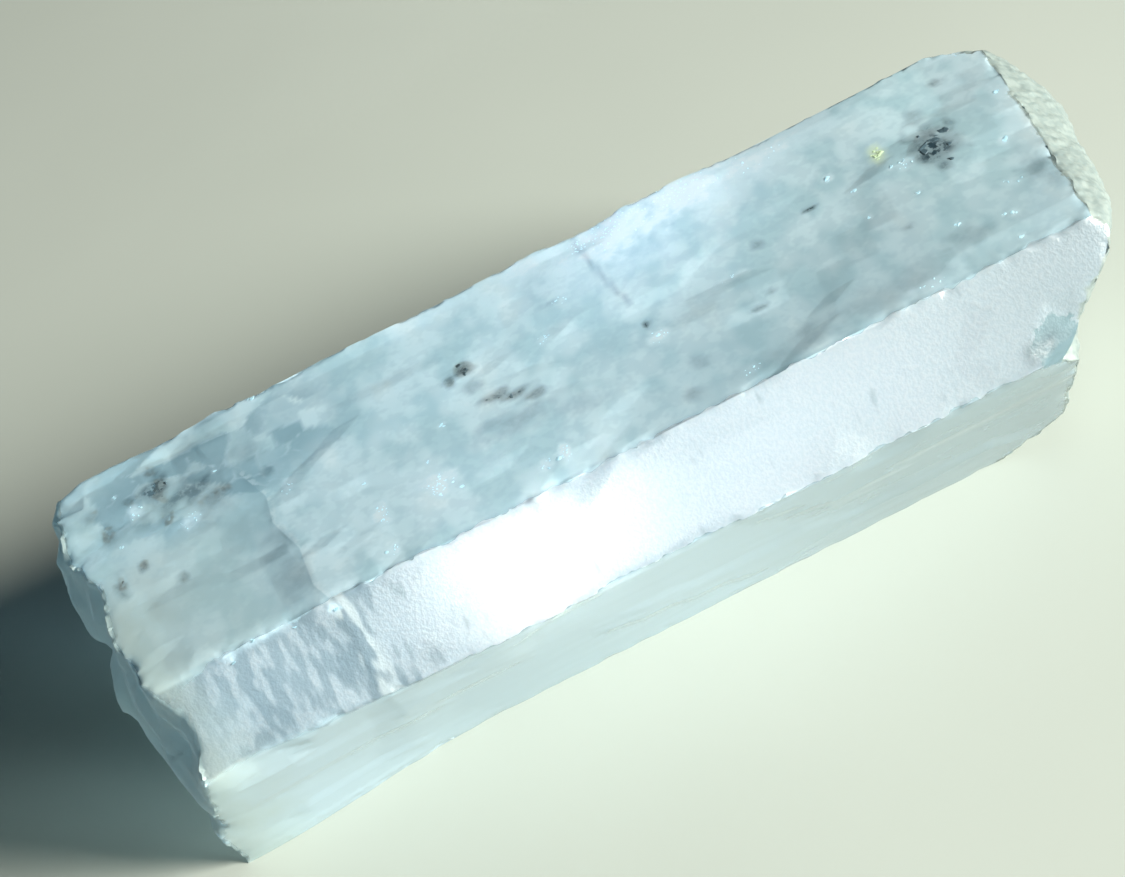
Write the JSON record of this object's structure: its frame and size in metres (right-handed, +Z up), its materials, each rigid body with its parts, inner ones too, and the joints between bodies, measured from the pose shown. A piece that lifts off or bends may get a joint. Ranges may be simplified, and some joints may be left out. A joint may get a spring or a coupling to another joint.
{
  "type": "aquamarine crystal",
  "caption": "Loose aquamarine crystal: a six-sided prism of pale blue beryl with broken ends, lying on one of its long faces.",
  "frame": {"origin": "middle of the crystal's length and width, on the surface that it rests on", "axes": "+X along the crystal's length, from the scooped break to the swollen, sugary break; +Z up from the long face that it rests on"},
  "size_m": [0.065, 0.0292, 0.0181],
  "materials": {
    "aquamarine": "pale blue beryl, see-through and cloudy with inclusions, glossy on the prism faces, etched to a fine frost on one of them and rough where it is broken"
  },
  "bodies": {
    "root": {"crystal": "aquamarine"}
  },
  "joints": []
}
